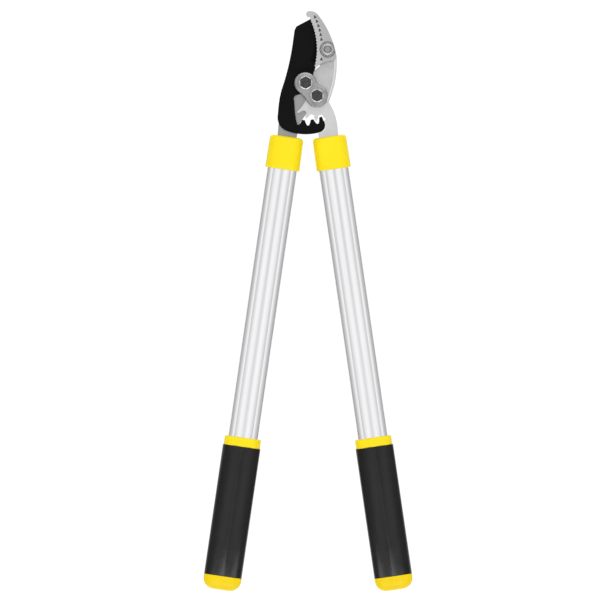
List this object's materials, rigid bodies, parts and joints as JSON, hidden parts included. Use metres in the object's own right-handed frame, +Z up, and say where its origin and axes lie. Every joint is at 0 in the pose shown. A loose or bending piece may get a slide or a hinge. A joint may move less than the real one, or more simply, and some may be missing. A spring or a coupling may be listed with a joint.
{
  "type": "two-handed geared lopping shears",
  "caption": "Long-handled pruning loppers: a coated blade closes on a serrated hook, driven by a geared arm, with oval metal tubes and soft grips.",
  "frame": {"origin": "on the ground under the middle of the tool as it lies on its back, handles closed", "axes": "+Y towards the hook's beak, +Z up out of the front face, +X towards the driven handle"},
  "size_m": [0.253, 0.7021, 0.033],
  "materials": {
    "jaw_steel": "ground and satin",
    "hook_steel": "stamped, satin nickel",
    "link_steel": "tumbled satin",
    "arm_steel": "bright satin nickel",
    "blade_coating": "matte black low-friction coating",
    "zinc": "bright zinc plate",
    "black_bolt": "black oxide",
    "bushing_brass": "machined",
    "washer_nylon": "natural nylon",
    "core_nylon": "moulded nylon",
    "rivet_steel": "pressed",
    "yellow_plastic": "smooth moulded",
    "black_grip": "satin soft-touch",
    "tube_aluminium": "brushed and clear anodised"
  },
  "bodies": {
    "left_side": {"jaw_plate": "jaw_steel", "hook_spacer": "jaw_steel", "hook_plate": "hook_steel", "hook_bolt": "zinc", "hook_washer": "zinc", "hook_nut": "zinc", "link_plate": "link_steel", "blade_pivot_bolt": "black_bolt", "blade_pivot_bushing": "bushing_brass", "blade_thrust_washers": "washer_nylon", "blade_rear_washer": "zinc", "blade_lock_nut": "zinc", "arm_pivot_bolt": "black_bolt", "arm_pivot_bushing": "bushing_brass", "arm_thrust_washers": "washer_nylon", "arm_rear_washer": "zinc", "arm_lock_nut": "zinc", "left_collar": "yellow_plastic", "left_tube": "tube_aluminium", "left_tang_core": "core_nylon", "left_tang_rivets": "rivet_steel", "left_grip_core": "yellow_plastic", "left_grip_sleeve": "black_grip", "left_end_cap": "yellow_plastic"},
    "right_side": {"drive_arm": "arm_steel", "right_collar": "yellow_plastic", "right_tube": "tube_aluminium", "right_tang_core": "core_nylon", "right_tang_rivets": "rivet_steel", "right_grip_core": "yellow_plastic", "right_grip_sleeve": "black_grip", "right_end_cap": "yellow_plastic"},
    "blade": {"cutting_blade": "blade_coating"}
  },
  "joints": [
    {"name": "handle_swing", "type": "hinge", "parent": "left_side", "child": "right_side", "pos_m": [0.01096, 0.24852, 0.019], "axis": [0, 0, 1], "range_deg": [0, 60]},
    {"name": "blade_swing", "type": "hinge", "parent": "left_side", "child": "blade", "pos_m": [-0.0029, 0.2643, 0.019], "axis": [0, 0, 1], "range_deg": [0, 33.5]}
  ],
  "couplings": [
    {"joint": "blade_swing", "follows": "handle_swing", "ratio": 0.55556}
  ]
}
